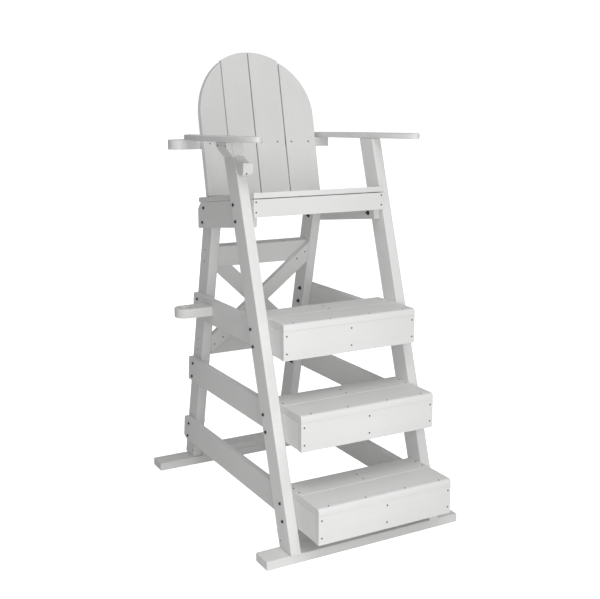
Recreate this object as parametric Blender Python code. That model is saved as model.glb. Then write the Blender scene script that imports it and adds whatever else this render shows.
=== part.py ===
"""Elevated lifeguard chair in white plastic lumber.

Run with: blender --background --python part.py
Metres, +Z up. The chair faces -Y and +X is its right side as seen from the front.
The origin lies on the ground under the middle of the front runner.
"""

import math

import bmesh
import bpy
from mathutils import Matrix, Vector

# ---------------------------------------------------------------- lumber sizes
GAP = 0.0003  # between pieces that touch on the real chair
HEAVY_THICK = 0.040  # legs
HEAVY_WIDE = 0.088  # legs, cross boards, umbrella boards
CROSS_THICK = 0.038  # boards of the heavy width that lie flat or stand between the legs
BOARD_THICK = 0.025  # rails, steps, braces
RAIL_TALL = 0.104
CROSS_TALL = 0.090  # cross rails between the rear legs
THIN_THICK = 0.020  # seat, back and arms
SLAT_WIDE = 0.1263
OUTER_SLAT_WIDE = 0.1224
SLAT_GAP = 0.0042

# ---------------------------------------------------------------- frame
HALF_WIDTH = 0.316  # to the outer face of the front legs
FRONT_LEAN = 0.308  # backward run for each metre of rise
REAR_LEAN = 0.248  # forward run for each metre of rise
FRONT_LEG_FOOT = -0.060  # front face of the front legs, run down to the ground
REAR_LEG_FOOT = 1.098  # rear face of the rear legs, run down to the ground
RUNNER_THICK = 0.034
RUNNER_HALF_LENGTH = 0.409
REAR_RUNNER_Y = 1.034  # middle of the rear runner
BASE_BOARD_THICK = 0.025

# ---------------------------------------------------------------- steps
# Rail top and front face of the riser, from the lowest step up.
STEPS = ((0.222, -0.169), (0.513, -0.049), (0.806, 0.076))
TREAD_FRONT_DEPTH = 0.130
TREAD_REAR_DEPTH = 0.115
TREAD_GAP = 0.0015
TREAD_FRONT_ROUND = 0.011
TREAD_REAR_ROUND = 0.006
RISER_DROP = 0.001  # the riser ends this far below the rail's lower edge
CLEAT_THICK = 0.038
CLEAT_TALL = 0.088
RAIL_REAR_INSET = 0.018
RAIL_REAR_SLOPE = 0.125
RAIL_CORNER_CUT = (0.030, 0.012)

# ---------------------------------------------------------------- seat
SEAT_FRONT = 0.2975
SEAT_FRONT_TOP = 1.267
SEAT_SLOPE = 0.115  # fall for each metre towards the back
SEAT_PLANKS = 4
SEAT_PLANK_WIDE = 0.127
SEAT_PLANK_GAP = 0.0017
SEAT_RAIL_TALL = 0.103
SEAT_RAIL_REAR = 0.817
SEAT_RAIL_CORNER_CUT = (0.028, 0.024)
APRON_TALL = 0.065

# ---------------------------------------------------------------- back
BACK_LEAN = 0.206
BACK_BASE_Y = 0.805  # front of the middle of the back, at BACK_BASE_Z
BACK_BASE_Z = 1.280
BACK_SAG = 0.048  # how far the edges stand in front of the middle
ARCH_CENTRE_Z = 1.5300
ARCH_RADIUS = 0.2545
OUTER_SLAT_DROP = 0.004
ARCH_STEPS = 10

# ---------------------------------------------------------------- arms
ARM_UNDERSIDE = 1.445  # at ARM_STRAIGHT_FRONT
ARM_SLOPE = 0.016  # fall for each metre towards the back
ARM_INNER = 0.276
ARM_OUTER = 0.372
ARM_FRONT = 0.149
ARM_REAR = 0.844
ARM_REAR_WIDE = 0.040
ARM_STRAIGHT_FRONT = 0.375
ARM_STRAIGHT_REAR = 0.505
ARM_STEPS = 24
CORBEL_TALL = 0.056
CORBEL_STRAIGHT = 0.018
CORBEL_STEPS = 5

# ---------------------------------------------------------------- umbrella boards
CROSSBOARD_FRONT = 0.810
CROSSBOARD_RIGHT = 0.331
CROSSBOARD_END = -0.335  # centre of its rounded left end
UPPER_HOLE = Vector((-0.340, 0.855, 1.420))
LOWER_HOLE = Vector((-0.376, 0.729, 0.763))
POLE_HOLE_RADIUS = 0.022
ROUND_END_STEPS = 12

# ---------------------------------------------------------------- braces
UPPER_CROSS_Z = 0.918  # lower edge of the upper cross rail
LOWER_CROSS_Z = 0.522
DIAGONAL_WIDE = 0.066
DIAGONAL_SLOPE = 0.94  # rise along the legs for each metre across

# ---------------------------------------------------------------- hook block
HOOK_REACH = 0.068
HOOK_TOP = 1.396  # where it leaves the leg
HOOK_FRONT_TOP = 1.374
HOOK_FLAT = 0.032  # the level part of its top
HOOK_BOTTOM = 1.326
HOOK_FOOT = 1.354  # where it returns to the leg
HOOK_ROUND = 0.022

WHITE = (0.80, 0.80, 0.79, 1.0)
ROUGHNESS = 0.45

LEG_INNER = HALF_WIDTH - HEAVY_THICK
RAIL_OUTER = LEG_INNER - GAP
RAIL_INNER = RAIL_OUTER - BOARD_THICK
REAR_LEG_OUTER = RAIL_INNER - GAP
REAR_LEG_INNER = REAR_LEG_OUTER - HEAVY_THICK
FRONT_RUN = HEAVY_WIDE * math.hypot(1.0, FRONT_LEAN)
REAR_RUN = HEAVY_WIDE * math.hypot(1.0, REAR_LEAN)


def front_leg_y(z):
    """Front face of a front leg at height z."""
    return FRONT_LEG_FOOT + FRONT_LEAN * z


def rear_leg_y(z):
    """Rear face of a rear leg at height z."""
    return REAR_LEG_FOOT - REAR_LEAN * z


def seat_top(y):
    """Height of the seat's upper surface."""
    return SEAT_FRONT_TOP - SEAT_SLOPE * (y - SEAT_FRONT)


def seat_underside(y):
    return seat_top(y) - THIN_THICK * math.hypot(1.0, SEAT_SLOPE)


def arm_underside(y):
    return ARM_UNDERSIDE - ARM_SLOPE * (y - ARM_STRAIGHT_FRONT)


def meeting(height, line_y, start):
    """The (y, z) point at which a leg line y = line_y(z) meets z = height(y)."""
    z = start
    for _ in range(20):
        z = height(line_y(z))
    return line_y(z), z


def material(name):
    mat = bpy.data.materials.new(name + "_plastic")
    mat.use_nodes = True
    bsdf = mat.node_tree.nodes["Principled BSDF"]
    bsdf.inputs["Base Color"].default_value = WHITE
    bsdf.inputs["Roughness"].default_value = ROUGHNESS
    bsdf.inputs["Metallic"].default_value = 0.0
    return mat


def add_object(name, bm, matrix=None):
    """Turn a bmesh into a named object with its own material."""
    bmesh.ops.recalc_face_normals(bm, faces=bm.faces)
    mesh = bpy.data.meshes.new(name)
    bm.to_mesh(mesh)
    bm.free()
    obj = bpy.data.objects.new(name, mesh)
    mesh.materials.append(material(name))
    if matrix is not None:
        obj.matrix_world = matrix
    bpy.context.scene.collection.objects.link(obj)
    return obj


def extruded(points, direction):
    """A closed solid: the outline of 3-D points swept along direction."""
    bm = bmesh.new()
    face = bm.faces.new([bm.verts.new(p) for p in points])
    swept = bmesh.ops.extrude_face_region(bm, geom=[face])
    moved = [v for v in swept["geom"] if isinstance(v, bmesh.types.BMVert)]
    bmesh.ops.translate(bm, vec=direction, verts=moved)
    return bm


def side_profile(name, outline, x0, x1):
    """A board cut to a (y, z) outline, lying between two x planes."""
    points = [(x0, y, z) for y, z in outline]
    return add_object(name, extruded(points, (x1 - x0, 0.0, 0.0)))


def plan_profile(name, outline, z0, z1):
    """A board cut to an (x, y) outline, lying between two heights."""
    points = [(x, y, z0) for x, y in outline]
    return add_object(name, extruded(points, (0.0, 0.0, z1 - z0)))


def block(name, low, high):
    """A plain board between two corners."""
    outline = [(low[1], low[2]), (high[1], low[2]), (high[1], high[2]), (low[1], high[2])]
    return side_profile(name, outline, low[0], high[0])


def arc(centre, radius, start, end, steps):
    """Points of an arc, with both ends."""
    angles = [start + (end - start) * i / steps for i in range(steps + 1)]
    return [
        (centre[0] + radius * math.cos(a), centre[1] + radius * math.sin(a))
        for a in angles
    ]


def pair(name, x0, x1, build):
    """The same side piece on the left and on the right."""
    for side, sign in (("left", -1), ("right", 1)):
        build(f"{side}_{name}", min(sign * x0, sign * x1), max(sign * x0, sign * x1))


def build_runners():
    half = HEAVY_WIDE / 2
    for name, y in (("front_runner", 0.0), ("rear_runner", REAR_RUNNER_Y)):
        block(
            name,
            (-RUNNER_HALF_LENGTH, y - half, 0.0),
            (RUNNER_HALF_LENGTH, y + half, RUNNER_THICK),
        )
    low = RUNNER_THICK + GAP
    inside = REAR_LEG_INNER - GAP
    block(
        "rear_base_board",
        (-inside, REAR_RUNNER_Y - half, low),
        (inside, REAR_RUNNER_Y + half, low + BASE_BOARD_THICK),
    )


def build_legs():
    low = RUNNER_THICK + GAP

    def under_arm(y):
        return arm_underside(y) - GAP

    front = [
        (front_leg_y(low), low),
        (front_leg_y(low) + FRONT_RUN, low),
        meeting(under_arm, lambda z: front_leg_y(z) + FRONT_RUN, ARM_UNDERSIDE),
        meeting(under_arm, front_leg_y, ARM_UNDERSIDE),
    ]
    pair("front_leg", LEG_INNER, HALF_WIDTH, lambda n, a, b: side_profile(n, front, a, b))

    # The rear legs end in the slope of the seat, just under it.
    def under_seat(y):
        return seat_underside(y) - 2 * GAP

    rear = [
        (rear_leg_y(low) - REAR_RUN, low),
        (rear_leg_y(low), low),
        meeting(under_seat, rear_leg_y, SEAT_FRONT_TOP),
        meeting(under_seat, lambda z: rear_leg_y(z) - REAR_RUN, SEAT_FRONT_TOP),
    ]
    pair(
        "rear_leg", REAR_LEG_INNER, REAR_LEG_OUTER, lambda n, a, b: side_profile(n, rear, a, b)
    )


def build_rails():
    for number, (top, riser_front) in enumerate(STEPS, start=1):
        bottom = top - RAIL_TALL
        middle = (top + bottom) / 2
        front = riser_front + BOARD_THICK + GAP
        end = rear_leg_y(middle) - RAIL_REAR_INSET
        reach = RAIL_REAR_SLOPE * RAIL_TALL / 2
        outline = [(front, bottom), (front, top), (end - reach, top)]
        if number == 1:
            cut_y, cut_z = RAIL_CORNER_CUT
            outline.append((end + reach, bottom + cut_z))
            outline.append((end + reach - cut_y, bottom))
        else:
            outline.append((end + reach, bottom))
        pair(
            f"step_rail_{number}",
            RAIL_INNER,
            RAIL_OUTER,
            lambda n, a, b, o=outline: side_profile(n, o, a, b),
        )


def build_steps():
    for number, (rail_top, front) in enumerate(STEPS, start=1):
        low = rail_top - RAIL_TALL - RISER_DROP
        tread = rail_top + GAP
        riser_back = front + BOARD_THICK
        seam = front + TREAD_FRONT_DEPTH
        back = seam + TREAD_GAP + TREAD_REAR_DEPTH
        block(
            f"step_riser_{number}",
            (-RAIL_OUTER, front, low),
            (RAIL_OUTER, riser_back, rail_top),
        )
        # Each tread board is rounded along its front upper edge.
        for part, start, end, radius in (
            ("front", front, seam, TREAD_FRONT_ROUND),
            ("rear", seam + TREAD_GAP, back, TREAD_REAR_ROUND),
        ):
            high = tread + BOARD_THICK
            outline = [(start, tread)]
            outline += arc((start + radius, high - radius), radius, math.pi, math.pi / 2, 6)
            outline += [(end, high), (end, tread)]
            side_profile(f"step_tread_{part}_{number}", outline, -RAIL_OUTER, RAIL_OUTER)
        block(
            f"step_cleat_{number}",
            (-CLEAT_THICK / 2, riser_back + GAP, rail_top - CLEAT_TALL),
            (CLEAT_THICK / 2, back, rail_top),
        )


def build_seat():
    run = math.hypot(1.0, SEAT_SLOPE)
    fall = Vector((0.0, 1.0, -SEAT_SLOPE)) / run
    up = Vector((0.0, SEAT_SLOPE, 1.0)) / run
    start = Vector((0.0, SEAT_FRONT, SEAT_FRONT_TOP))
    for number in range(SEAT_PLANKS):
        near = start + fall * number * (SEAT_PLANK_WIDE + SEAT_PLANK_GAP)
        far = near + fall * SEAT_PLANK_WIDE
        outline = [near, far, far - up * THIN_THICK, near - up * THIN_THICK]
        side_profile(
            f"seat_plank_{number + 1}", [(p.y, p.z) for p in outline], -RAIL_OUTER, RAIL_OUTER
        )

    apron_back = SEAT_FRONT + BOARD_THICK
    apron_top = seat_underside(apron_back) - GAP
    block(
        "seat_apron",
        (-RAIL_OUTER, SEAT_FRONT, apron_top - APRON_TALL),
        (RAIL_OUTER, apron_back, apron_top),
    )

    front = apron_back + GAP
    tall = SEAT_RAIL_TALL * run
    cut_y, cut_z = SEAT_RAIL_CORNER_CUT
    top = [(y, seat_underside(y) - GAP) for y in (front, SEAT_RAIL_REAR - cut_y)]
    rear_top = (SEAT_RAIL_REAR, seat_underside(SEAT_RAIL_REAR) - cut_z)
    bottom = [(y, seat_underside(y) - tall) for y in (SEAT_RAIL_REAR, front)]
    outline = top + [rear_top] + bottom
    pair("seat_rail", RAIL_INNER, RAIL_OUTER, lambda n, a, b: side_profile(n, outline, a, b))


def back_sag(x):
    """How far the front of the back stands before its middle, at x."""
    return BACK_SAG * (x / (2 * (SLAT_WIDE + SLAT_GAP))) ** 2


def slat_edge(x):
    """Front of the back at x, at the height of its base."""
    return Vector((x, BACK_BASE_Y - back_sag(x), BACK_BASE_Z))


def build_back():
    lean = Vector((0.0, BACK_LEAN, 1.0)).normalized()
    pitch = SLAT_WIDE + SLAT_GAP
    for number in range(4):
        sign = -1 if number < 2 else 1
        outer = number in (0, 3)
        x_near = pitch + SLAT_GAP / 2 if outer else SLAT_GAP / 2
        x_far = x_near + (OUTER_SLAT_WIDE if outer else SLAT_WIDE)
        near = slat_edge(sign * x_near)
        across = (slat_edge(sign * x_far) - near).normalized()
        back = lean.cross(across).normalized()
        if back.y < 0:
            back = -back
        slat_turn = abs(across.x)
        drop = OUTER_SLAT_DROP if outer else 0.0

        def foot(u):
            """Height along the slat at which it stands on the seat."""
            s = 0.0
            for _ in range(20):
                p = near + across * u + lean * s + back * THIN_THICK
                s += (seat_top(p.y) + 2 * GAP - p.z) / lean.z
            return s

        def crown(u):
            """Height along the slat of the arched top."""
            s = 0.0
            for _ in range(20):
                p = near + across * u + lean * s
                half = math.sqrt(max(ARCH_RADIUS**2 - p.x**2, 0.0))
                s += (ARCH_CENTRE_Z - drop + half - p.z) / lean.z
            return s

        width = (x_far - x_near) / slat_turn
        outline = [(0.0, foot(0.0)), (width, foot(width))]
        first = math.acos(min(abs(sign * x_far) / ARCH_RADIUS, 1.0))
        last = math.acos(x_near / ARCH_RADIUS)
        for i in range(ARCH_STEPS + 1):
            angle = first + (last - first) * i / ARCH_STEPS
            u = (ARCH_RADIUS * math.cos(angle) - x_near) / slat_turn
            outline.append((u, crown(u)))
        points = [near + across * u + lean * s for u, s in outline]
        add_object(f"back_slat_{number + 1}", extruded(points, back * THIN_THICK))


def build_crossboard():
    """The board behind the back: it carries the arms and ends in a pole hole."""
    pitch = SLAT_WIDE + SLAT_GAP
    high = arm_underside(ARM_REAR) - GAP
    low = high - CROSS_THICK
    rear = CROSSBOARD_FRONT + HEAVY_WIDE
    # The front edge follows the back faces of the four slats at the board's upper edge,
    # where they stand furthest back. The outer slats are turned the most.
    turn = (back_sag(2 * pitch) - back_sag(pitch)) / pitch
    slat_back = THIN_THICK * math.hypot(1.0, BACK_LEAN, turn) + 4 * GAP
    front = []
    for x in (-2 * pitch, -pitch, 0.0, pitch, 2 * pitch):
        y = BACK_BASE_Y + BACK_LEAN * (high - BACK_BASE_Z) - back_sag(x)
        front.append((x, y + slat_back))
    side = max(CROSSBOARD_FRONT, front[0][1])
    outline = front + [(CROSSBOARD_RIGHT, side), (CROSSBOARD_RIGHT, rear)]
    middle = (side + rear) / 2
    radius = (rear - side) / 2
    outline += arc((CROSSBOARD_END, middle), radius, math.pi / 2, 3 * math.pi / 2, ROUND_END_STEPS)
    return plan_profile("back_crossboard", outline, low, high)


def build_lower_umbrella_board():
    half = HEAVY_WIDE / 2
    start = -LEG_INNER
    outline = [(start, LOWER_HOLE.y - half), (start, LOWER_HOLE.y + half)]
    outline += arc(LOWER_HOLE.xy, half, math.pi / 2, 3 * math.pi / 2, ROUND_END_STEPS)
    thick = CROSS_THICK / 2
    return plan_profile(
        "lower_umbrella_board", outline, LOWER_HOLE.z - thick, LOWER_HOLE.z + thick
    )


def cut_pole_holes(boards):
    """Both umbrella boards are drilled on one line, the line of the pole."""
    axis = UPPER_HOLE - LOWER_HOLE
    bm = bmesh.new()
    bmesh.ops.create_cone(
        bm,
        cap_ends=True,
        segments=24,
        radius1=POLE_HOLE_RADIUS,
        radius2=POLE_HOLE_RADIUS,
        depth=axis.length + 0.3,
    )
    turn = axis.to_track_quat("Z", "Y").to_matrix().to_4x4()
    cutter = add_object("pole_cutter", bm, Matrix.Translation((UPPER_HOLE + LOWER_HOLE) / 2) @ turn)
    cutter.hide_render = True
    cutter.display_type = "WIRE"
    for board in boards:
        cut = board.modifiers.new("pole_hole", "BOOLEAN")
        cut.operation = "DIFFERENCE"
        cut.solver = "EXACT"
        cut.object = cutter


def build_arms():
    rear_corner = ARM_INNER + ARM_REAR_WIDE
    outline = [(ARM_INNER, ARM_REAR), (rear_corner, ARM_REAR)]
    # The outer edge swells from the narrow rear end to the full width.
    for i in range(1, ARM_STEPS + 1):
        t = i / ARM_STEPS
        swell = math.sin(t * math.pi / 2)
        y = ARM_REAR + (ARM_STRAIGHT_REAR - ARM_REAR) * t
        outline.append((rear_corner + (ARM_OUTER - rear_corner) * swell, y))
    # The front is a half ellipse as wide as the arm.
    middle = (ARM_INNER + ARM_OUTER) / 2
    half = (ARM_OUTER - ARM_INNER) / 2
    for i in range(ARM_STEPS + 1):
        angle = math.pi * i / ARM_STEPS
        y = ARM_STRAIGHT_FRONT - (ARM_STRAIGHT_FRONT - ARM_FRONT) * math.sin(angle)
        outline.append((middle + half * math.cos(angle), y))
    for side, sign in (("left", -1), ("right", 1)):
        points = [(sign * x, y, arm_underside(y)) for x, y in outline]
        add_object(f"{side}_arm", extruded(points, (0.0, 0.0, THIN_THICK)))


def build_corbel():
    """The block on the outer face of the left front leg that carries the arm's overhang."""
    inner = HALF_WIDTH + GAP
    outer = inner + BOARD_THICK
    # The top keeps clear of the arm over the whole depth of the leg.
    top = arm_underside(front_leg_y(ARM_UNDERSIDE) + FRONT_RUN) - GAP
    taper = CORBEL_TALL - CORBEL_STRAIGHT
    outline = [(inner, top - CORBEL_TALL), (inner, top), (outer, top)]
    for i in range(CORBEL_STEPS):
        t = i / CORBEL_STEPS
        outline.append((outer - BOARD_THICK * t**1.2, top - CORBEL_STRAIGHT - taper * t))
    points = [(-x, front_leg_y(z), z) for x, z in outline]
    add_object("left_arm_corbel", extruded(points, (0.0, FRONT_RUN, 0.0)))


def build_hook_block():
    """The rounded block on the front face of the left leg."""
    y_front = front_leg_y(HOOK_FRONT_TOP) - HOOK_REACH
    y_flat = y_front + HOOK_FLAT
    y_leg = front_leg_y(HOOK_TOP) - 2 * GAP
    outline = [
        (y_leg, HOOK_TOP),
        (y_flat + (y_leg - y_flat) * 0.45, HOOK_FRONT_TOP + (HOOK_TOP - HOOK_FRONT_TOP) * 0.36),
        (y_flat, HOOK_FRONT_TOP),
        (y_front, HOOK_FRONT_TOP),
    ]
    centre = (y_front + HOOK_ROUND, HOOK_BOTTOM + HOOK_ROUND)
    outline += arc(centre, HOOK_ROUND, math.pi, 1.72 * math.pi, 8)
    outline.append((front_leg_y(HOOK_FOOT) - 2 * GAP, HOOK_FOOT))
    side_profile("hook_block", outline, -HALF_WIDTH, -LEG_INNER)


def in_leg_plane(name, outline, depth, thick):
    """A board between the rear legs, in their slope.

    The outline holds (across, up the leg) points; depth runs back from the legs' front faces.
    """
    up = Vector((0.0, -REAR_LEAN, 1.0)).normalized()
    back = Vector((0.0, 1.0, REAR_LEAN)).normalized()
    foot = REAR_LEG_FOOT - (HEAVY_WIDE - depth) * math.hypot(1.0, REAR_LEAN)
    points = [Vector((x, foot, 0.0)) + up * s for x, s in outline]
    return add_object(name, extruded(points, back * thick))


def build_braces():
    inside = REAR_LEG_INNER - GAP
    rise = math.hypot(1.0, REAR_LEAN)
    cross_depth = BOARD_THICK + GAP
    cross_thick = HEAVY_WIDE - 2 * cross_depth
    lower = LOWER_CROSS_Z * rise
    upper = UPPER_CROSS_Z * rise
    for name, s in (("upper_cross_rail", upper), ("lower_cross_rail", lower)):
        outline = [
            (-inside, s),
            (inside, s),
            (inside, s + CROSS_TALL),
            (-inside, s + CROSS_TALL),
        ]
        in_leg_plane(name, outline, cross_depth, cross_thick)

    # The diagonals run from leg to leg, one in front of the cross rails and one behind.
    middle = (lower + upper + CROSS_TALL) / 2
    half = DIAGONAL_WIDE / 2 * math.hypot(1.0, DIAGONAL_SLOPE)
    reach = DIAGONAL_SLOPE * inside
    outline = [
        (-inside, middle - reach - half),
        (inside, middle + reach - half),
        (inside, middle + reach + half),
        (-inside, middle - reach + half),
    ]
    in_leg_plane("front_brace", outline, 0.0, BOARD_THICK)
    mirrored = [(-x, s) for x, s in outline]
    in_leg_plane("rear_brace", mirrored, HEAVY_WIDE - BOARD_THICK, BOARD_THICK)


def main():
    for obj in list(bpy.data.objects):
        bpy.data.objects.remove(obj, do_unlink=True)
    build_runners()
    build_legs()
    build_rails()
    build_steps()
    build_seat()
    build_back()
    crossboard = build_crossboard()
    lower_board = build_lower_umbrella_board()
    cut_pole_holes((crossboard, lower_board))
    build_arms()
    build_corbel()
    build_hook_block()
    build_braces()
    bpy.context.view_layer.update()


main()
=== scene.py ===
"""Lifeguard chair in white plastic lumber: its finish, fastenings and studio.

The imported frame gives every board. This file eases the boards' edges, gives them their
moulded skin, adds the bolts, nuts, washers and screws, and sets up the floor, light and view.
Metres, +Z up; the chair faces -Y.
"""

import math

import bmesh
import bpy
from mathutils import Matrix, Vector


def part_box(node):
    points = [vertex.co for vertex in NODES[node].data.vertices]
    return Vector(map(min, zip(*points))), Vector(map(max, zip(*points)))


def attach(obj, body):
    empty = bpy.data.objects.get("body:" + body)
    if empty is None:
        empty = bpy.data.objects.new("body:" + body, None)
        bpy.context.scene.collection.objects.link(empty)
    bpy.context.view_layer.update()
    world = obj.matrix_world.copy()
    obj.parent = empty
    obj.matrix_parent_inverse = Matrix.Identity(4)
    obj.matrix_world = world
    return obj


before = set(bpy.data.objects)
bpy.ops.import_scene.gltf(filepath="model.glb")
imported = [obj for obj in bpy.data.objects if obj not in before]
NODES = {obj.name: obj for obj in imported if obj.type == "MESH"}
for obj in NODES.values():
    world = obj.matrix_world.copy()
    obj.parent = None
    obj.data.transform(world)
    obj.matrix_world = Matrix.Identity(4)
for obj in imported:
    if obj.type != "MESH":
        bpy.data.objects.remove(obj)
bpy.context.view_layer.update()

bl_info = {
    "name": "Lifeguard Chair",
    "version": (1, 0, 0),
    "blender": (4, 5, 0),
    "location": "3D View > Sidebar > Chair",
    "description": "Finish, fastenings and studio for a plastic-lumber lifeguard chair",
    "category": "Object",
}

SIDES = (("left", -1), ("right", 1))

# Direction in which each kind of board runs, as (across, back, up).
ALONG_X = Vector((1.0, 0.0, 0.0))
ALONG_Y = Vector((0.0, 1.0, 0.0))
UP_FRONT_LEG = Vector((0.0, 0.308, 1.0))
UP_REAR_LEG = Vector((0.0, -0.248, 1.0))
UP_BACK = Vector((0.0, 0.206, 1.0))
UP_TO_RIGHT = Vector((1.0, -0.226, 0.912))
UP_TO_LEFT = Vector((-1.0, -0.226, 0.912))

# Boards whose edges are eased more or less than the others, as a share of the edge radius.
EDGE_SHARES = (
    ("step_riser", 0.15),
    ("step_tread_front", 0.25),
    ("step_tread_rear", 0.5),
    ("seat_apron", 0.15),
    ("seat_plank_1", 0.25),
    ("back_slat", 0.5),
)

# Board name (or the start of it) and its finish; the first match counts.
BOARD_RUNS = (
    ("left_front_leg", "lumber_front_legs", UP_FRONT_LEG),
    ("right_front_leg", "lumber_front_legs", UP_FRONT_LEG),
    ("left_rear_leg", "lumber_rear_legs", UP_REAR_LEG),
    ("right_rear_leg", "lumber_rear_legs", UP_REAR_LEG),
    ("back_slat", "lumber_back", UP_BACK),
    ("front_brace", "lumber_front_brace", UP_TO_RIGHT),
    ("rear_brace", "lumber_rear_brace", UP_TO_LEFT),
    ("left_step_rail", "lumber_rails", ALONG_Y),
    ("right_step_rail", "lumber_rails", ALONG_Y),
    ("left_seat_rail", "lumber_rails", ALONG_Y),
    ("right_seat_rail", "lumber_rails", ALONG_Y),
    ("step_cleat", "lumber_rails", ALONG_Y),
    ("left_arm", "lumber_rails", ALONG_Y),
    ("right_arm", "lumber_rails", ALONG_Y),
    ("", "lumber_cross", ALONG_X),
)

# How far behind the middle line of the front and of the rear leg each rail is bolted.
RAIL_BOLTS = {
    "step_rail_1": (-0.0135, -0.0225),
    "step_rail_2": (0.0220, -0.0190),
    "step_rail_3": (0.0260, -0.0120),
    "seat_rail": (0.0230, -0.0075),
}
BOLT_FROM_EDGE = 0.022  # from the rail's upper and lower edges
FRONT_LEG_LEAN = 0.308
REAR_LEG_LEAN = -0.248
LEG_WIDE = 0.088
SEAT_SLOPE = 0.115
FAR = 3.0  # start of an aim from outside the chair

# Places of the screws.
TREAD_SCREW_XS = (-0.230, -0.082, 0.082, 0.230)
TREAD_SCREW_SETBACK = 0.013  # behind the front edge of the tread
PLANK_SCREW_SHARES = (0.24, 0.76)  # of a seat plank's width
APRON_SCREW_OUT = 0.003  # beyond the middle of the seat rail
APRON_SCREW_DROPS = (0.010, 0.047)
SLAT_SCREW_RISE = 0.003  # above the middle of the board behind the back
SLAT_SCREW_SHARES = (0.17, 0.72)  # of a slat's width, from its inner edge
ARM_SCREW_SPREAD = 0.022  # before and behind the middle of the leg
ARM_REAR_SCREW_INSET = 0.013
CORBEL_SCREW_DROP = 0.014
CORBEL_SCREW_OFFSETS = (-0.037, 0.030)
HOOK_SCREW_ASIDE = 0.005
HOOK_SCREW_RISE = 0.009
BRACE_SCREWS = ((0.158, 0.018), (0.194, 0.013))  # (across, above the brace's own slope)
CROSS_RAIL_SCREW_RISE = 0.026
CROSS_RAIL_SCREW_DROP = 0.022
CROSS_RAIL_SCREW_BACK = 0.004
FOOT_SCREW_RISE = 0.0265
FOOT_SCREW_OFFSET = 0.030

# Sizes of the fastenings that don't follow from the settings.
SUNK = 0.0004  # how deep a head or washer sits in the plastic
FLANGE_TALL = 0.0012
WASHER_TALL = 0.0015
NUT_TALL = 0.0050
THREAD_PITCH = 0.0010
SCREW_TALL = 0.0010
TURN_STEP = 0.9  # turn from one bolt to the next

# Lights: where each stands, where it is aimed and its two sides.
KEY_LIGHT = ((-0.74, -2.2, 1.2), (0.0, -0.1, 0.45), (1.6, 1.3))
TOP_LIGHT = ((-0.6, -1.2, 3.3), (0.0, -0.1, 0.2), (2.2, 1.4))
FLOOR_RADIUS = 40.0
FLOOR_DROP = 0.0006  # keeps the floor just clear of the runners
BACKGROUND_WHITE = 1.05
SENSOR_WIDE = 36.0

# The painted shade patch on the floor behind the lowest riser: a soft rectangle, set by
# position and not cast, where the floor is not lifted to white.
PAINTED_SHADE_MIDDLE = (0.0, 0.14, 0.0)
PAINTED_SHADE_HALF = (0.195, 0.050)
PAINTED_SHADE_FADE = 0.065


class BoardSettings(bpy.types.PropertyGroup):
    edge_radius: bpy.props.FloatProperty(
        name="Edge radius",
        description="Radius of the eased long edges of a board",
        default=0.0032,
        min=0.0005,
        max=0.008,
        unit="LENGTH",
    )
    colour: bpy.props.FloatVectorProperty(
        name="Lumber colour",
        description="Colour of the moulded skin",
        default=(0.80, 0.80, 0.795, 1.0),
        size=4,
        min=0.0,
        max=1.0,
        subtype="COLOR",
    )
    shade: bpy.props.FloatVectorProperty(
        name="Lumber shade",
        description="Colour of the duller streaks and of the sawn ends",
        default=(0.70, 0.70, 0.69, 1.0),
        size=4,
        min=0.0,
        max=1.0,
        subtype="COLOR",
    )
    streak_depth: bpy.props.FloatProperty(
        name="Streak depth",
        description="Relief of the drawn streaks and fine texture",
        default=0.0004,
        min=0.0,
        max=0.003,
        unit="LENGTH",
    )


class FastenerSettings(bpy.types.PropertyGroup):
    bolt_flats: bpy.props.FloatProperty(
        name="Bolt head across flats",
        description="Width of the hexagon heads and nuts",
        default=0.0100,
        min=0.006,
        max=0.020,
        unit="LENGTH",
    )
    bolt_head_tall: bpy.props.FloatProperty(
        name="Bolt head height",
        description="Height of the hexagon heads",
        default=0.0042,
        min=0.002,
        max=0.010,
        unit="LENGTH",
    )
    bolt_radius: bpy.props.FloatProperty(
        name="Bolt radius",
        description="Radius of the bolt's thread",
        default=0.0031,
        min=0.002,
        max=0.006,
        unit="LENGTH",
    )
    bolt_end: bpy.props.FloatProperty(
        name="Bolt end",
        description="Length of thread beyond the nut",
        default=0.0055,
        min=0.001,
        max=0.020,
        unit="LENGTH",
    )
    washer_radius: bpy.props.FloatProperty(
        name="Washer radius",
        description="Radius of the washers under the nuts",
        default=0.0095,
        min=0.005,
        max=0.015,
        unit="LENGTH",
    )
    screw_radius: bpy.props.FloatProperty(
        name="Screw head radius",
        description="Radius of the flush screw heads",
        default=0.0036,
        min=0.002,
        max=0.008,
        unit="LENGTH",
    )
    steel: bpy.props.FloatVectorProperty(
        name="Steel colour",
        description="Colour of the darkened steel",
        default=(0.045, 0.045, 0.048, 1.0),
        size=4,
        min=0.0,
        max=1.0,
        subtype="COLOR",
    )


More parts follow.
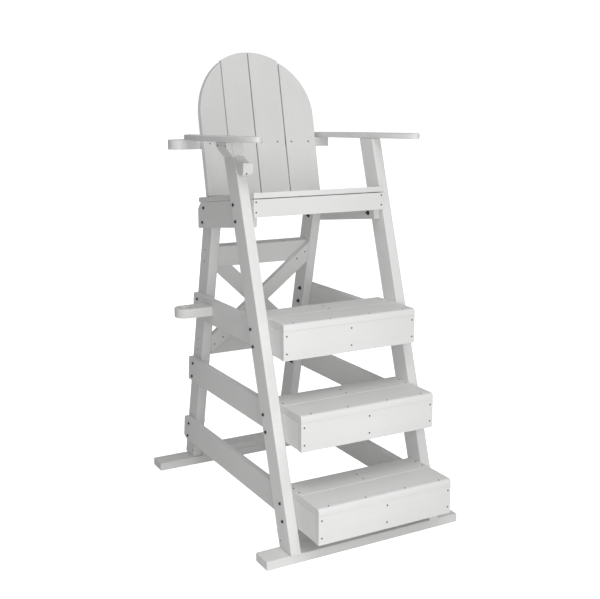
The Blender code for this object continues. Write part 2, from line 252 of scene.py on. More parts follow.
class StudioSettings(bpy.types.PropertyGroup):
    view_heading: bpy.props.FloatProperty(
        name="View heading",
        description="Turn of the view from straight ahead of the chair",
        default=math.radians(28.653),
        subtype="ANGLE",
        unit="ROTATION",
    )
    view_fall: bpy.props.FloatProperty(
        name="View fall",
        description="Angle by which the view looks down",
        default=math.radians(11.800),
        subtype="ANGLE",
        unit="ROTATION",
    )
    view_roll: bpy.props.FloatProperty(
        name="View roll",
        description="Turn of the view about its own axis",
        default=math.radians(-0.168),
        subtype="ANGLE",
        unit="ROTATION",
    )
    view_place: bpy.props.FloatVectorProperty(
        name="View place",
        description="Where the view is taken from",
        default=(-1.7337, -2.7111, 1.5787),
        size=3,
        subtype="TRANSLATION",
        unit="LENGTH",
    )
    focal_length: bpy.props.FloatProperty(
        name="Focal length",
        description="Focal length of the lens in millimetres",
        default=56.4,
        min=10.0,
        max=200.0,
    )
    key_power: bpy.props.FloatProperty(
        name="Key light",
        description="Power of the low soft light in front of the chair",
        default=30.0,
        min=0.0,
        max=1000.0,
        unit="POWER",
    )
    top_power: bpy.props.FloatProperty(
        name="Top light",
        description="Power of the soft light high in front of the chair",
        default=29.0,
        min=0.0,
        max=1000.0,
        unit="POWER",
    )
    sky: bpy.props.FloatProperty(
        name="Room light",
        description="Brightness of the even light from all around",
        default=0.32,
        min=0.0,
        max=5.0,
    )
    floor_glow: bpy.props.FloatProperty(
        name="Floor lift",
        description="Brightness added to the open floor as it is seen",
        default=1.0,
        min=0.0,
        max=2.0,
    )


# ------------------------------------------------------------------ finishes
def new_socket(group, name, kind, direction, default=None):
    socket = group.interface.new_socket(name=name, in_out=direction, socket_type=kind)
    if default is not None:
        socket.default_value = default


def add_node(tree, kind, place, **settings):
    """A node of that kind at place; settings are its properties, and its inputs by name."""
    node = tree.nodes.new(kind)
    node.location = place
    inputs = settings.pop("inputs", {})
    for key, value in settings.items():
        setattr(node, key, value)
    for key, value in inputs.items():
        node.inputs[key].default_value = value
    return node


def lumber_skin_group():
    """Streaks drawn along the board, a fine skin, scattered scuffs and sawn ends.

    Its Place runs along the board in X, and Facing is the surface direction, turned likewise.
    """
    group = bpy.data.node_groups.new("lumber_skin", "ShaderNodeTree")
    new_socket(group, "Place", "NodeSocketVector", "INPUT")
    new_socket(group, "Facing", "NodeSocketVector", "INPUT")
    new_socket(group, "Colour", "NodeSocketColor", "INPUT", (0.8, 0.8, 0.8, 1.0))
    new_socket(group, "Shade", "NodeSocketColor", "INPUT", (0.7, 0.7, 0.7, 1.0))
    new_socket(group, "Streaks", "NodeSocketFloat", "INPUT", 0.5)
    new_socket(group, "Scuffs", "NodeSocketFloat", "INPUT", 0.5)
    new_socket(group, "Color", "NodeSocketColor", "OUTPUT")
    new_socket(group, "Roughness", "NodeSocketFloat", "OUTPUT")
    new_socket(group, "Height", "NodeSocketFloat", "OUTPUT")
    links = group.links
    came = add_node(group, "NodeGroupInput", (-1200, 0))
    left = add_node(group, "NodeGroupOutput", (900, 0))

    # Streaks: noise stretched along the board.
    stretch = add_node(
        group, "ShaderNodeMapping", (-950, 250), inputs={"Scale": (1.6, 70.0, 70.0)}
    )
    links.new(came.outputs["Place"], stretch.inputs["Vector"])
    streak = add_node(
        group, "ShaderNodeTexNoise", (-720, 250), inputs={"Scale": 1.0, "Detail": 4.0}
    )
    links.new(stretch.outputs["Vector"], streak.inputs["Vector"])

    # Skin: the fine orange-peel of foamed plastic.
    skin = add_node(
        group,
        "ShaderNodeTexNoise",
        (-720, 0),
        inputs={"Scale": 420.0, "Detail": 3.0, "Roughness": 0.55},
    )
    links.new(came.outputs["Place"], skin.inputs["Vector"])

    # Clouding: broad change of tone from board to board.
    cloud = add_node(
        group, "ShaderNodeTexNoise", (-720, -250), inputs={"Scale": 3.2, "Detail": 2.0}
    )
    links.new(came.outputs["Place"], cloud.inputs["Vector"])

    # Scuffs: short marks, mostly along the board.
    scuff_place = add_node(
        group, "ShaderNodeMapping", (-950, -500), inputs={"Scale": (9.0, 60.0, 60.0)}
    )
    links.new(came.outputs["Place"], scuff_place.inputs["Vector"])
    scuff = add_node(
        group,
        "ShaderNodeTexNoise",
        (-720, -500),
        inputs={"Scale": 1.3, "Detail": 6.0, "Roughness": 0.7, "Distortion": 0.6},
    )
    links.new(scuff_place.outputs["Vector"], scuff.inputs["Vector"])
    scuff_mask = add_node(
        group,
        "ShaderNodeMapRange",
        (-480, -500),
        inputs={"From Min": 0.64, "From Max": 0.76, "To Min": 0.0, "To Max": 1.0},
    )
    links.new(scuff.outputs["Fac"], scuff_mask.inputs["Value"])
    scuffed = add_node(group, "ShaderNodeMath", (-260, -500), operation="MULTIPLY")
    links.new(scuff_mask.outputs["Result"], scuffed.inputs[0])
    links.new(came.outputs["Scuffs"], scuffed.inputs[1])

    # Sawn ends: where the surface looks along the board.
    split = add_node(group, "ShaderNodeSeparateXYZ", (-950, -760))
    links.new(came.outputs["Facing"], split.inputs["Vector"])
    facing = add_node(group, "ShaderNodeMath", (-720, -760), operation="ABSOLUTE")
    links.new(split.outputs["X"], facing.inputs[0])
    end_mask = add_node(
        group,
        "ShaderNodeMapRange",
        (-480, -760),
        inputs={"From Min": 0.80, "From Max": 0.92},
    )
    links.new(facing.outputs["Value"], end_mask.inputs["Value"])
    saw = add_node(
        group,
        "ShaderNodeTexWave",
        (-720, -960),
        bands_direction="Z",
        inputs={"Scale": 160.0, "Distortion": 1.4, "Detail": 2.0, "Detail Scale": 0.6},
    )
    links.new(came.outputs["Place"], saw.inputs["Vector"])
    sawn = add_node(group, "ShaderNodeMath", (-260, -860), operation="MULTIPLY")
    links.new(end_mask.outputs["Result"], sawn.inputs[0])
    links.new(saw.outputs["Fac"], sawn.inputs[1])

    # Colour: streaks and clouding first, then scuffs and ends.
    tone = add_node(group, "ShaderNodeMath", (-480, 250), operation="MULTIPLY")
    links.new(streak.outputs["Fac"], tone.inputs[0])
    links.new(came.outputs["Streaks"], tone.inputs[1])
    clouded = add_node(
        group,
        "ShaderNodeMapRange",
        (-480, 30),
        inputs={"From Min": 0.35, "From Max": 0.75, "To Min": 0.0, "To Max": 0.35},
    )
    links.new(cloud.outputs["Fac"], clouded.inputs["Value"])
    mixed = add_node(group, "ShaderNodeMath", (-260, 150), operation="ADD", use_clamp=True)
    links.new(tone.outputs["Value"], mixed.inputs[0])
    links.new(clouded.outputs["Result"], mixed.inputs[1])
    marks = add_node(group, "ShaderNodeMath", (-40, -500), operation="ADD", use_clamp=True)
    links.new(scuffed.outputs["Value"], marks.inputs[0])
    links.new(sawn.outputs["Value"], marks.inputs[1])
    all_marks = add_node(group, "ShaderNodeMath", (150, 100), operation="MAXIMUM")
    links.new(mixed.outputs["Value"], all_marks.inputs[0])
    links.new(marks.outputs["Value"], all_marks.inputs[1])
    colour = add_node(group, "ShaderNodeMix", (380, 250), data_type="RGBA")
    links.new(all_marks.outputs["Value"], colour.inputs["Factor"])
    links.new(came.outputs["Colour"], colour.inputs["A"])
    links.new(came.outputs["Shade"], colour.inputs["B"])
    links.new(colour.outputs["Result"], left.inputs["Color"])

    # Roughness: satin, duller on scuffs and ends.
    rough = add_node(
        group,
        "ShaderNodeMapRange",
        (380, 0),
        inputs={"From Min": 0.0, "From Max": 1.0, "To Min": 0.40, "To Max": 0.66},
    )
    links.new(all_marks.outputs["Value"], rough.inputs["Value"])
    links.new(rough.outputs["Result"], left.inputs["Roughness"])

    # Height: streaks, skin and saw marks.
    fine = add_node(group, "ShaderNodeMath", (-260, 0), operation="MULTIPLY")
    fine.inputs[1].default_value = 0.35
    links.new(skin.outputs["Fac"], fine.inputs[0])
    relief = add_node(group, "ShaderNodeMath", (150, -150), operation="ADD")
    links.new(tone.outputs["Value"], relief.inputs[0])
    links.new(fine.outputs["Value"], relief.inputs[1])
    cut = add_node(group, "ShaderNodeMath", (380, -250), operation="ADD")
    links.new(relief.outputs["Value"], cut.inputs[0])
    links.new(sawn.outputs["Value"], cut.inputs[1])
    links.new(cut.outputs["Value"], left.inputs["Height"])
    return group


def lumber_finish(name, run, settings):
    """White plastic lumber whose streaks run along the given direction."""
    mat = bpy.data.materials.new(name)
    mat.use_nodes = True
    tree = mat.node_tree
    shader = tree.nodes["Principled BSDF"]
    turn = run.normalized().rotation_difference(Vector((1.0, 0.0, 0.0))).to_euler()
    place = add_node(tree, "ShaderNodeTexCoord", (-1100, 200))
    turned = add_node(tree, "ShaderNodeMapping", (-880, 200), inputs={"Rotation": turn})
    tree.links.new(place.outputs["Object"], turned.inputs["Vector"])
    surface = add_node(tree, "ShaderNodeNewGeometry", (-1100, -100))
    facing = add_node(tree, "ShaderNodeMapping", (-880, -100), inputs={"Rotation": turn})
    tree.links.new(surface.outputs["Normal"], facing.inputs["Vector"])
    skin = add_node(tree, "ShaderNodeGroup", (-640, 100))
    skin.node_tree = bpy.data.node_groups["lumber_skin"]
    skin.inputs["Colour"].default_value = settings.colour
    skin.inputs["Shade"].default_value = settings.shade
    skin.inputs["Streaks"].default_value = 0.35
    skin.inputs["Scuffs"].default_value = 0.5
    tree.links.new(turned.outputs["Vector"], skin.inputs["Place"])
    tree.links.new(facing.outputs["Vector"], skin.inputs["Facing"])
    bump = add_node(tree, "ShaderNodeBump", (-300, -150), inputs={"Strength": 0.6})
    bump.inputs["Distance"].default_value = settings.streak_depth
    tree.links.new(skin.outputs["Height"], bump.inputs["Height"])
    tree.links.new(skin.outputs["Color"], shader.inputs["Base Color"])
    tree.links.new(skin.outputs["Roughness"], shader.inputs["Roughness"])
    tree.links.new(bump.outputs["Normal"], shader.inputs["Normal"])
    shader.inputs["Metallic"].default_value = 0.0
    shader.inputs["IOR"].default_value = 1.5
    shader.inputs["Specular IOR Level"].default_value = 0.35
    return mat


def steel_finish(settings):
    """Darkened steel with a little weathering."""
    found = bpy.data.materials.get("dark_steel")
    if found:
        return found
    mat = bpy.data.materials.new("dark_steel")
    mat.use_nodes = True
    tree = mat.node_tree
    shader = tree.nodes["Principled BSDF"]
    place = add_node(tree, "ShaderNodeTexCoord", (-900, 0))
    noise = add_node(
        tree, "ShaderNodeTexNoise", (-680, 0), inputs={"Scale": 350.0, "Detail": 4.0}
    )
    tree.links.new(place.outputs["Object"], noise.inputs["Vector"])
    dull = add_node(tree, "ShaderNodeMix", (-400, 150), data_type="RGBA")
    dull.inputs["A"].default_value = settings.steel
    dull.inputs["B"].default_value = (0.085, 0.075, 0.066, 1.0)
    tree.links.new(noise.outputs["Fac"], dull.inputs["Factor"])
    tree.links.new(dull.outputs["Result"], shader.inputs["Base Color"])
    rough = add_node(
        tree, "ShaderNodeMapRange", (-400, -100), inputs={"To Min": 0.34, "To Max": 0.62}
    )
    tree.links.new(noise.outputs["Fac"], rough.inputs["Value"])
    tree.links.new(rough.outputs["Result"], shader.inputs["Roughness"])
    bump = add_node(tree, "ShaderNodeBump", (-400, -320), inputs={"Strength": 0.3})
    bump.inputs["Distance"].default_value = 0.0002
    tree.links.new(noise.outputs["Fac"], bump.inputs["Height"])
    tree.links.new(bump.outputs["Normal"], shader.inputs["Normal"])
    shader.inputs["Metallic"].default_value = 0.7
    return mat


# ------------------------------------------------------------------ places
def aim(node, start, direction):
    """Where a line from start meets a board, and which way its surface looks there."""
    met, place, facing, _ = NODES[node].ray_cast(Vector(start), Vector(direction))
    if not met:
        raise RuntimeError(f"no surface of {node} from {tuple(start)} along {direction}")
    return place, facing


def leg_middle(node, lean, z):
    """Middle line of a leaning leg at height z, as a distance back."""
    low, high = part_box(node)
    half_run = LEG_WIDE * math.hypot(1.0, lean) / 2
    if lean > 0:
        return low.y + half_run + lean * (z - low.z)
    return high.y - half_run + lean * (z - low.z)


def standing(place, outward, turn=0.0):
    """Matrix that stands a piece on a surface: its +Z looks outward."""
    upright = Vector(outward).to_track_quat("Z", "Y").to_matrix().to_4x4()
    return Matrix.Translation(place) @ upright @ Matrix.Rotation(turn, 4, "Z")


# ------------------------------------------------------------------ fastenings
def add_disc(bm, seat, base, tall, radius, top_radius=None, segments=16):
    """A round or hexagonal solid on a seat, from base to base + tall above it."""
    made = bmesh.ops.create_cone(
        bm,
        cap_ends=True,
        segments=segments,
        radius1=radius,
        radius2=radius if top_radius is None else top_radius,
        depth=tall,
        matrix=seat @ Matrix.Translation((0.0, 0.0, base + tall / 2)),
    )
    return made["verts"]


def top_face(verts, outward):
    """The cap that looks furthest outward."""
    faces = {face for vert in verts for face in vert.link_faces}
    return max(faces, key=lambda face: face.calc_center_median().dot(outward))


def add_hexagon(bm, seat, base, tall, flats):
    """A hexagon head or nut with its outer corners chamfered."""
    corner = flats / math.sqrt(3.0)
    verts = add_disc(bm, seat, base, tall, corner, segments=6)
    outward = seat.to_3x3() @ Vector((0.0, 0.0, 1.0))
    cap = top_face(verts, outward)
    bmesh.ops.bevel(
        bm,
        geom=list(cap.edges),
        offset=flats * 0.09,
        segments=2,
        profile=0.5,
        affect="EDGES",
        material=-1,
    )


def add_bolt_head(bm, place, outward, turn, settings):
    seat = standing(place, outward, turn)
    flange = settings.bolt_flats * 0.56
    add_disc(bm, seat, -SUNK, FLANGE_TALL, flange, flange * 0.96, segments=20)
    add_hexagon(bm, seat, 1.5 * SUNK, settings.bolt_head_tall, settings.bolt_flats)


def add_nut(bm, place, outward, turn, settings):
    """Washer, nut and the end of the bolt with its thread."""
    seat = standing(place, outward, turn)
    ring = settings.washer_radius
    add_disc(bm, seat, -SUNK, WASHER_TALL, ring, ring * 0.97, segments=24)
    add_hexagon(bm, seat, WASHER_TALL - SUNK, NUT_TALL, settings.bolt_flats)
    crest = settings.bolt_radius
    root = crest * 0.86
    start = WASHER_TALL + NUT_TALL - 1.5 * SUNK
    half = THREAD_PITCH / 2
    for i in range(int(settings.bolt_end / THREAD_PITCH)):
        base = start + THREAD_PITCH * i
        add_disc(bm, seat, base, half, root, crest, segments=12)
        add_disc(bm, seat, base + half, half, crest, root, segments=12)


def add_screw(bm, place, outward, turn, settings):
    """A flush screw head: a low dome with a round drive recess in its middle."""
    seat = standing(place, outward, turn)
    radius = settings.screw_radius
    verts = add_disc(bm, seat, -SCREW_TALL / 2, SCREW_TALL, radius, radius * 0.80, segments=14)
    axis = seat.to_3x3() @ Vector((0.0, 0.0, 1.0))
    cap = top_face(verts, axis)
    bmesh.ops.inset_individual(bm, faces=[cap], thickness=radius * 0.42)
    bmesh.ops.translate(bm, verts=list(cap.verts), vec=-SUNK * axis)


def finish_piece(name, bm, mat):
    """Turn a bmesh into a piece of the chair that goes with the frame."""
    bmesh.ops.recalc_face_normals(bm, faces=bm.faces)
    mesh = bpy.data.meshes.new(name)
    bm.to_mesh(mesh)
    bm.free()
    mesh.materials.append(mat)
    piece = bpy.data.objects.new(name, mesh)
    bpy.context.scene.collection.objects.link(piece)
    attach(piece, "root")


def screws(name, seats, settings):
    """One piece of screws, each on a (place, outward) seat."""
    bm = bmesh.new()
    for count, (place, outward) in enumerate(seats):
        add_screw(bm, place, outward, 0.7 * count, settings)
    finish_piece(name, bm, steel_finish(settings))


# ------------------------------------------------------------------ operators
class CHAIR_OT_lumber(bpy.types.Operator):
    """Ease the edges of every board and give it the moulded plastic finish"""

    bl_idname = "chair.lumber"
    bl_label = "Lumber"

    def execute(self, context):
        settings = context.scene.chair_boards
        lumber_skin_group()
        finishes = {}
        for node, board in sorted(NODES.items()):
            _, name, run = next(r for r in BOARD_RUNS if node.startswith(r[0]))
            if name not in finishes:
                finishes[name] = lumber_finish(name, run, settings)
            board.data.materials.clear()
            board.data.materials.append(finishes[name])
            weld = board.modifiers.new("join", "WELD")
            weld.merge_threshold = 0.00002
            flat = board.modifiers.new("flatten", "DECIMATE")
            flat.decimate_type = "DISSOLVE"
            flat.angle_limit = math.radians(1.0)
            ease = board.modifiers.new("ease_edges", "BEVEL")
            share = next((share for kind, share in EDGE_SHARES if node.startswith(kind)), 1.0)
            ease.width = settings.edge_radius * share
            ease.segments = 3
            ease.limit_method = "ANGLE"
            ease.angle_limit = math.radians(40.0)
            ease.use_clamp_overlap = True
        return {"FINISHED"}


class CHAIR_OT_rail_bolts(bpy.types.Operator):
    """Bolt the step rails and the seat rails to the legs, two bolts at each crossing"""

    bl_idname = "chair.rail_bolts"
    bl_label = "Rail bolts"

    def execute(self, context):
        settings = context.scene.chair_fasteners
        steel = steel_finish(settings)
        for side, sign in SIDES:
            heads = bmesh.new()
            nuts = bmesh.new()
            turn = 0.0
            for rail, offsets in RAIL_BOLTS.items():
                rail_node = f"{side}_{rail}"
                crossings = (
                    (f"{side}_front_leg", FRONT_LEG_LEAN, offsets[0], True),
                    (f"{side}_rear_leg", REAR_LEG_LEAN, offsets[1], False),
                )
                for leg_node, lean, offset, leg_outside in crossings:
                    outer, inner = (
                        (leg_node, rail_node) if leg_outside else (rail_node, leg_node)
                    )
                    for y, z in self.crossing(rail_node, leg_node, lean, offset):
                        place, _ = aim(outer, (sign * FAR, y, z), (-sign, 0.0, 0.0))
                        add_bolt_head(heads, place, (sign, 0.0, 0.0), turn, settings)
                        place, _ = aim(inner, (0.0, y, z), (sign, 0.0, 0.0))
                        add_nut(nuts, place, (-sign, 0.0, 0.0), turn + 0.4, settings)
                        turn += TURN_STEP
            finish_piece(f"{side}_rail_bolts", heads, steel)
            finish_piece(f"{side}_rail_nuts", nuts, steel)
        return {"FINISHED"}

    @staticmethod
    def crossing(rail_node, leg_node, lean, offset):
        """The two bolt places, near the rail's lower and upper edges."""
        low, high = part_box(rail_node)
        slope = SEAT_SLOPE if "seat" in rail_node else 0.0
        middle = leg_middle(leg_node, lean, (low.z + high.z) / 2)
        bottom = low.z + slope * (high.y - middle) + BOLT_FROM_EDGE
        top = high.z - slope * (middle - low.y) - BOLT_FROM_EDGE
        return [(leg_middle(leg_node, lean, z) + offset, z) for z in (bottom, top)]


class CHAIR_OT_step_screws(bpy.types.Operator):
    """Screw the risers and both tread boards of every step"""

    bl_idname = "chair.step_screws"
    bl_label = "Step screws"

    riser_drops: bpy.props.FloatVectorProperty(
        name="Riser screws below the rail top",
        description="Heights of the two screws in each end of a riser",
        default=(0.017, 0.080),
        size=2,
        unit="LENGTH",
    )
    rear_setbacks: bpy.props.FloatVectorProperty(
        name="Rear board screws",
        description="Distances of the screws behind the seam of the tread",
        default=(0.027, 0.070),
        size=2,
        unit="LENGTH",
    )

    def execute(self, context):
        settings = context.scene.chair_fasteners
        rail_low, rail_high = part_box("right_step_rail_1")
        rail_x = (rail_low.x + rail_high.x) / 2
        for number in (1, 2, 3):
            seats = []
            riser = f"step_riser_{number}"
            _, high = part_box(riser)
            for x in (-rail_x, 0.0, rail_x):
                for drop in self.riser_drops:
                    seats.append(aim(riser, (x, -FAR, high.z - drop), (0, 1, 0)))
            tread = f"step_tread_front_{number}"
            low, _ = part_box(tread)
            for x in TREAD_SCREW_XS:
                seats.append(aim(tread, (x, low.y + TREAD_SCREW_SETBACK, FAR), (0, 0, -1)))
            tread = f"step_tread_rear_{number}"
            low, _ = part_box(tread)
            for x in (-rail_x, 0.0, rail_x):
                for setback in self.rear_setbacks:
                    seats.append(aim(tread, (x, low.y + setback, FAR), (0, 0, -1)))
            screws(f"step_screws_{number}", seats, settings)
        return {"FINISHED"}


class CHAIR_OT_seat_screws(bpy.types.Operator):
    """Screw the seat planks and the apron to the seat rails"""

    bl_idname = "chair.seat_screws"
    bl_label = "Seat screws"

    def execute(self, context):
        settings = context.scene.chair_fasteners
        rail_low, rail_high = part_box("right_seat_rail")
        rail_x = (rail_low.x + rail_high.x) / 2
        seats = []
        for number in (1, 2, 3, 4):
            plank = f"seat_plank_{number}"
            low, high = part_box(plank)
            for x in (-rail_x, rail_x):
                for share in PLANK_SCREW_SHARES:
                    y = low.y + (high.y - low.y) * share
                    seats.append(aim(plank, (x, y, FAR), (0, 0, -1)))
        _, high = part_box("seat_apron")
        apron_x = rail_x + APRON_SCREW_OUT
        for x in (-apron_x, apron_x):
            for drop in APRON_SCREW_DROPS:
                seats.append(aim("seat_apron", (x, -FAR, high.z - drop), (0, 1, 0)))
        screws("seat_screws", seats, settings)
        return {"FINISHED"}


class CHAIR_OT_back_screws(bpy.types.Operator):
    """Screw the back slats to the board behind them"""

    bl_idname = "chair.back_screws"
    bl_label = "Back screws"

    def execute(self, context):
        settings = context.scene.chair_fasteners
        board_low, board_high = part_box("back_crossboard")
        z = (board_low.z + board_high.z) / 2 + SLAT_SCREW_RISE
        seats = []
        for number in (1, 2, 3, 4):
            slat = f"back_slat_{number}"
            low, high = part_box(slat)
            inner, outer = (low.x, high.x) if number > 2 else (high.x, low.x)
            for share in SLAT_SCREW_SHARES:
                x = inner + (outer - inner) * share
                seats.append(aim(slat, (x, 0.0, z), (0, 1, 0)))
        screws("back_screws", seats, settings)
        return {"FINISHED"}


class CHAIR_OT_arm_screws(bpy.types.Operator):
    """Screw the arms, the corbel under the left arm and the hook block"""

    bl_idname = "chair.arm_screws"
    bl_label = "Arm screws"

    def execute(self, context):
        settings = context.scene.chair_fasteners
        for side, _ in SIDES:
            arm = f"{side}_arm"
            leg_low, leg_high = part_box(f"{side}_front_leg")
            x = (leg_low.x + leg_high.x) / 2
            middle = leg_middle(f"{side}_front_leg", FRONT_LEG_LEAN, leg_high.z)
            seats = [
                aim(arm, (x, middle - ARM_SCREW_SPREAD, FAR), (0, 0, -1)),
                aim(arm, (x, middle + ARM_SCREW_SPREAD, FAR), (0, 0, -1)),
            ]
            _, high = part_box(arm)
            seats.append(aim(arm, (x, high.y - ARM_REAR_SCREW_INSET, FAR), (0, 0, -1)))
            screws(f"{side}_arm_screws", seats, settings)
        _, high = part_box("left_arm_corbel")
        z = high.z - CORBEL_SCREW_DROP
        seats = []
        for offset in CORBEL_SCREW_OFFSETS:
            y = leg_middle("left_front_leg", FRONT_LEG_LEAN, z) + offset
            seats.append(aim("left_arm_corbel", (-FAR, y, z), (1, 0, 0)))
        screws("corbel_screws", seats, settings)
        low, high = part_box("hook_block")
        x = (low.x + high.x) / 2 - HOOK_SCREW_ASIDE
        place = (x, -FAR, low.z + HOOK_SCREW_RISE)
        screws("hook_block_screw", [aim("hook_block", place, (0, 1, 0))], settings)
        return {"FINISHED"}


class CHAIR_OT_brace_screws(bpy.types.Operator):
    """Screw the braces, the cross rails between the rear legs and the feet of the legs"""

    bl_idname = "chair.brace_screws"
    bl_label = "Brace screws"

    def execute(self, context):
        settings = context.scene.chair_fasteners
        seats = []
        for brace, lie, start, look in (
            ("front_brace", 1, -FAR, 1),
            ("rear_brace", -1, FAR, -1),
        ):
            low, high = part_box(brace)
            middle = (low.z + high.z) / 2
            for x, above in BRACE_SCREWS:
                for end in (-1, 1):
                    z = middle + end * (UP_TO_RIGHT.z * x + above)
                    seats.append(aim(brace, (end * lie * x, start, z), (0, look, 0)))
        for side, sign in SIDES:
            leg = f"{side}_rear_leg"
            for rail in ("upper_cross_rail", "lower_cross_rail"):
                low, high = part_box(rail)
                for z in (low.z + CROSS_RAIL_SCREW_RISE, high.z - CROSS_RAIL_SCREW_DROP):
                    y = leg_middle(leg, REAR_LEG_LEAN, z) + CROSS_RAIL_SCREW_BACK
                    seats.append(aim(leg, (sign * FAR, y, z), (-sign, 0, 0)))
            for leg, lean in (
                (f"{side}_front_leg", FRONT_LEG_LEAN),
                (f"{side}_rear_leg", REAR_LEG_LEAN),
            ):
                low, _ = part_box(leg)
                z = low.z + FOOT_SCREW_RISE
                y = leg_middle(leg, lean, z) + math.copysign(FOOT_SCREW_OFFSET, lean)
                seats.append(aim(leg, (sign * FAR, y, z), (-sign, 0, 0)))
        screws("brace_screws", seats, settings)
        return {"FINISHED"}


class CHAIR_OT_studio(bpy.types.Operator):
    """Lay the pale floor, light it softly and set the view"""

    bl_idname = "chair.studio"
    bl_label = "Studio"

    def execute(self, context):
        settings = context.scene.chair_studio
        self.floor(context, settings)
        self.room(context, settings)
        self.soft_light(context, "key", *KEY_LIGHT, settings.key_power)
        self.soft_light(context, "top", *TOP_LIGHT, settings.top_power)
        self.view(context, settings)
        context.scene.view_settings.view_transform = "Standard"
        return {"FINISHED"}

    @staticmethod
    def floor(context, settings):
        bm = bmesh.new()
        bmesh.ops.create_circle(bm, cap_ends=True, segments=96, radius=FLOOR_RADIUS)
        bmesh.ops.translate(bm, verts=bm.verts, vec=(0.0, 0.0, -FLOOR_DROP))
        mesh = bpy.data.meshes.new("floor")
        bm.to_mesh(mesh)
        bm.free()
        floor = bpy.data.objects.new("floor", mesh)
        context.scene.collection.objects.link(floor)
        mat = bpy.data.materials.new("pale_floor")
        mat.use_nodes = True
        tree = mat.node_tree
        shader = tree.nodes["Principled BSDF"]
        place = add_node(tree, "ShaderNodeTexCoord", (-900, 0))
        noise = add_node(
            tree, "ShaderNodeTexNoise", (-680, 0), inputs={"Scale": 1.3, "Detail": 3.0}
        )
        tree.links.new(place.outputs["Object"], noise.inputs["Vector"])
        tone = add_node(tree, "ShaderNodeMix", (-400, 0), data_type="RGBA")
        tone.inputs["A"].default_value = (0.90, 0.90, 0.90, 1.0)
        tone.inputs["B"].default_value = (0.92, 0.92, 0.92, 1.0)
        tree.links.new(noise.outputs["Fac"], tone.inputs["Factor"])
        tree.links.new(tone.outputs["Result"], shader.inputs["Base Color"])
        shader.inputs["Roughness"].default_value = 0.9
        shader.inputs["Specular IOR Level"].default_value = 0.1
        # The open floor is lifted to white as seen. Behind the lowest riser a soft rectangle,
        # set by position, is left out of the lift: painted shade, since only there does the
        # floor's own lit tone, with whatever real shadow falls on it, show darker than white.
        apart = add_node(tree, "ShaderNodeVectorMath", (-680, 400), operation="SUBTRACT")
        apart.inputs[1].default_value = PAINTED_SHADE_MIDDLE
        tree.links.new(place.outputs["Object"], apart.inputs[0])
        away = add_node(tree, "ShaderNodeVectorMath", (-500, 400), operation="ABSOLUTE")
        tree.links.new(apart.outputs["Vector"], away.inputs[0])
        axes = add_node(tree, "ShaderNodeSeparateXYZ", (-320, 400))
        tree.links.new(away.outputs["Vector"], axes.inputs["Vector"])
        # Mask that is 0 in the painted shade patch and 1 on the open floor around it.
        beyond_painted_shade = add_node(tree, "ShaderNodeMath", (40, 420), operation="MAXIMUM")
        for i, (axis, half) in enumerate(zip("XY", PAINTED_SHADE_HALF)):
            outside = add_node(
                tree,
                "ShaderNodeMapRange",
                (-140, 560 - 260 * i),
                interpolation_type="SMOOTHSTEP",
                inputs={"From Min": half, "From Max": half + PAINTED_SHADE_FADE},
            )
            tree.links.new(axes.outputs[axis], outside.inputs["Value"])
            tree.links.new(outside.outputs["Result"], beyond_painted_shade.inputs[i])
        lifted = add_node(tree, "ShaderNodeMath", (200, 420), operation="MULTIPLY")
        lifted.inputs[1].default_value = settings.floor_glow
        tree.links.new(beyond_painted_shade.outputs["Value"], lifted.inputs[0])
        seen = add_node(tree, "ShaderNodeLightPath", (-340, 650))
        glow = add_node(tree, "ShaderNodeEmission", (100, 250))
        lift = add_node(tree, "ShaderNodeMath", (-100, 400), operation="MULTIPLY")
        tree.links.new(lifted.outputs["Value"], lift.inputs[1])
        tree.links.new(seen.outputs["Is Camera Ray"], lift.inputs[0])
        tree.links.new(lift.outputs["Value"], glow.inputs["Strength"])
        both = add_node(tree, "ShaderNodeAddShader", (320, 100))
        tree.links.new(shader.outputs["BSDF"], both.inputs[0])
        tree.links.new(glow.outputs["Emission"], both.inputs[1])
        out = tree.nodes["Material Output"]
        out.location = (520, 100)
        tree.links.new(both.outputs["Shader"], out.inputs["Surface"])
        mesh.materials.append(mat)

    @staticmethod
    def room(context, settings):
        """Even light from all around, seen as a white background."""
        world = bpy.data.worlds.new("room")
        world.use_nodes = True
        tree = world.node_tree
        light = tree.nodes["Background"]
        light.inputs["Color"].default_value = (1.0, 1.0, 1.0, 1.0)
        light.inputs["Strength"].default_value = settings.sky
        white = add_node(tree, "ShaderNodeBackground", (0, -150))
        white.inputs["Color"].default_value = (1.0, 1.0, 1.0, 1.0)
        white.inputs["Strength"].default_value = BACKGROUND_WHITE
        seen = add_node(tree, "ShaderNodeLightPath", (0, 250))
        pick = add_node(tree, "ShaderNodeMixShader", (250, 50))
        tree.links.new(seen.outputs["Is Camera Ray"], pick.inputs["Fac"])
        tree.links.new(light.outputs["Background"], pick.inputs[1])
        tree.links.new(white.outputs["Background"], pick.inputs[2])
        tree.links.new(pick.outputs["Shader"], tree.nodes["World Output"].inputs["Surface"])
        context.scene.world = world

    @staticmethod
    def soft_light(context, name, place, target, size, power):
        data = bpy.data.lights.new(name, "AREA")
        data.shape = "RECTANGLE"
        data.size, data.size_y = size
        data.energy = power
        light = bpy.data.objects.new(name, data)
        light.location = place
        along = Vector(target) - Vector(place)
        light.rotation_euler = along.to_track_quat("-Z", "Y").to_euler()
        context.scene.collection.objects.link(light)

    @staticmethod
    def view(context, settings):
        data = bpy.data.cameras.new("view")
        data.lens = settings.focal_length
        data.sensor_width = SENSOR_WIDE
        data.sensor_fit = "HORIZONTAL"
        camera = bpy.data.objects.new("view", data)
        camera.location = settings.view_place
        heading = Matrix.Rotation(-settings.view_heading, 4, "Z")
        fall = Matrix.Rotation(math.pi / 2 - settings.view_fall, 4, "X")
        roll = Matrix.Rotation(settings.view_roll, 4, "Z")
        camera.rotation_euler = (heading @ fall @ roll).to_euler()
        context.scene.collection.objects.link(camera)
        context.scene.camera = camera


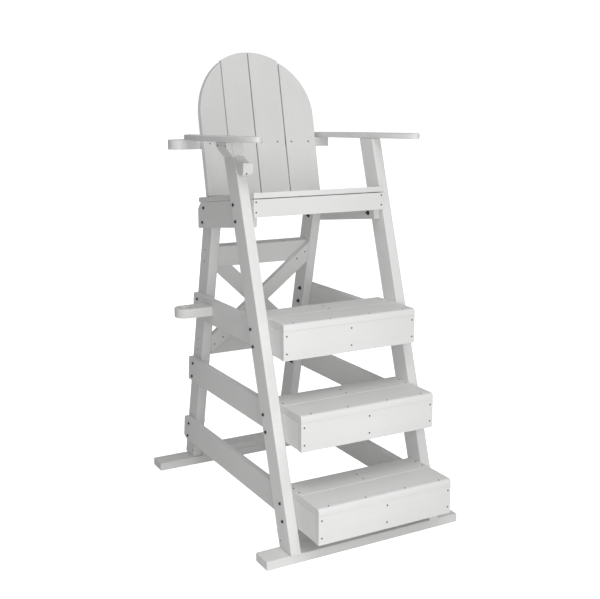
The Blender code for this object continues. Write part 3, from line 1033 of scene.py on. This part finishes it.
class CHAIR_PT_panel(bpy.types.Panel):
    """Steps of the chair, in the order in which they are made"""

    bl_idname = "CHAIR_PT_panel"
    bl_label = "Lifeguard Chair"
    bl_space_type = "VIEW_3D"
    bl_region_type = "UI"
    bl_category = "Chair"

    def draw(self, context):
        scene = context.scene
        for title, settings, steps in (
            ("Boards", scene.chair_boards, BOARD_STEPS),
            ("Fastenings", scene.chair_fasteners, FASTENER_STEPS),
            ("Studio", scene.chair_studio, STUDIO_STEPS),
        ):
            box = self.layout.box()
            box.label(text=title)
            for name in settings.__annotations__:
                box.prop(settings, name)
            for step in steps:
                box.operator(step.bl_idname)


BOARD_STEPS = (CHAIR_OT_lumber,)
FASTENER_STEPS = (
    CHAIR_OT_rail_bolts,
    CHAIR_OT_step_screws,
    CHAIR_OT_seat_screws,
    CHAIR_OT_back_screws,
    CHAIR_OT_arm_screws,
    CHAIR_OT_brace_screws,
)
STUDIO_STEPS = (CHAIR_OT_studio,)
CLASSES = (
    (BoardSettings, FastenerSettings, StudioSettings)
    + FASTENER_STEPS
    + BOARD_STEPS
    + STUDIO_STEPS
    + (CHAIR_PT_panel,)
)


def register():
    for cls in CLASSES:
        bpy.utils.register_class(cls)
    bpy.types.Scene.chair_boards = bpy.props.PointerProperty(type=BoardSettings)
    bpy.types.Scene.chair_fasteners = bpy.props.PointerProperty(type=FastenerSettings)
    bpy.types.Scene.chair_studio = bpy.props.PointerProperty(type=StudioSettings)


def unregister():
    del bpy.types.Scene.chair_studio
    del bpy.types.Scene.chair_fasteners
    del bpy.types.Scene.chair_boards
    for cls in reversed(CLASSES):
        bpy.utils.unregister_class(cls)


def main():
    register()
    # Fastenings are aimed at the plain boards, so they come before the eased edges.
    bpy.ops.chair.rail_bolts()
    bpy.ops.chair.step_screws()
    bpy.ops.chair.seat_screws()
    bpy.ops.chair.back_screws()
    bpy.ops.chair.arm_screws()
    bpy.ops.chair.brace_screws()
    bpy.ops.chair.lumber()
    bpy.ops.chair.studio()


if __name__ == "__main__":
    main()
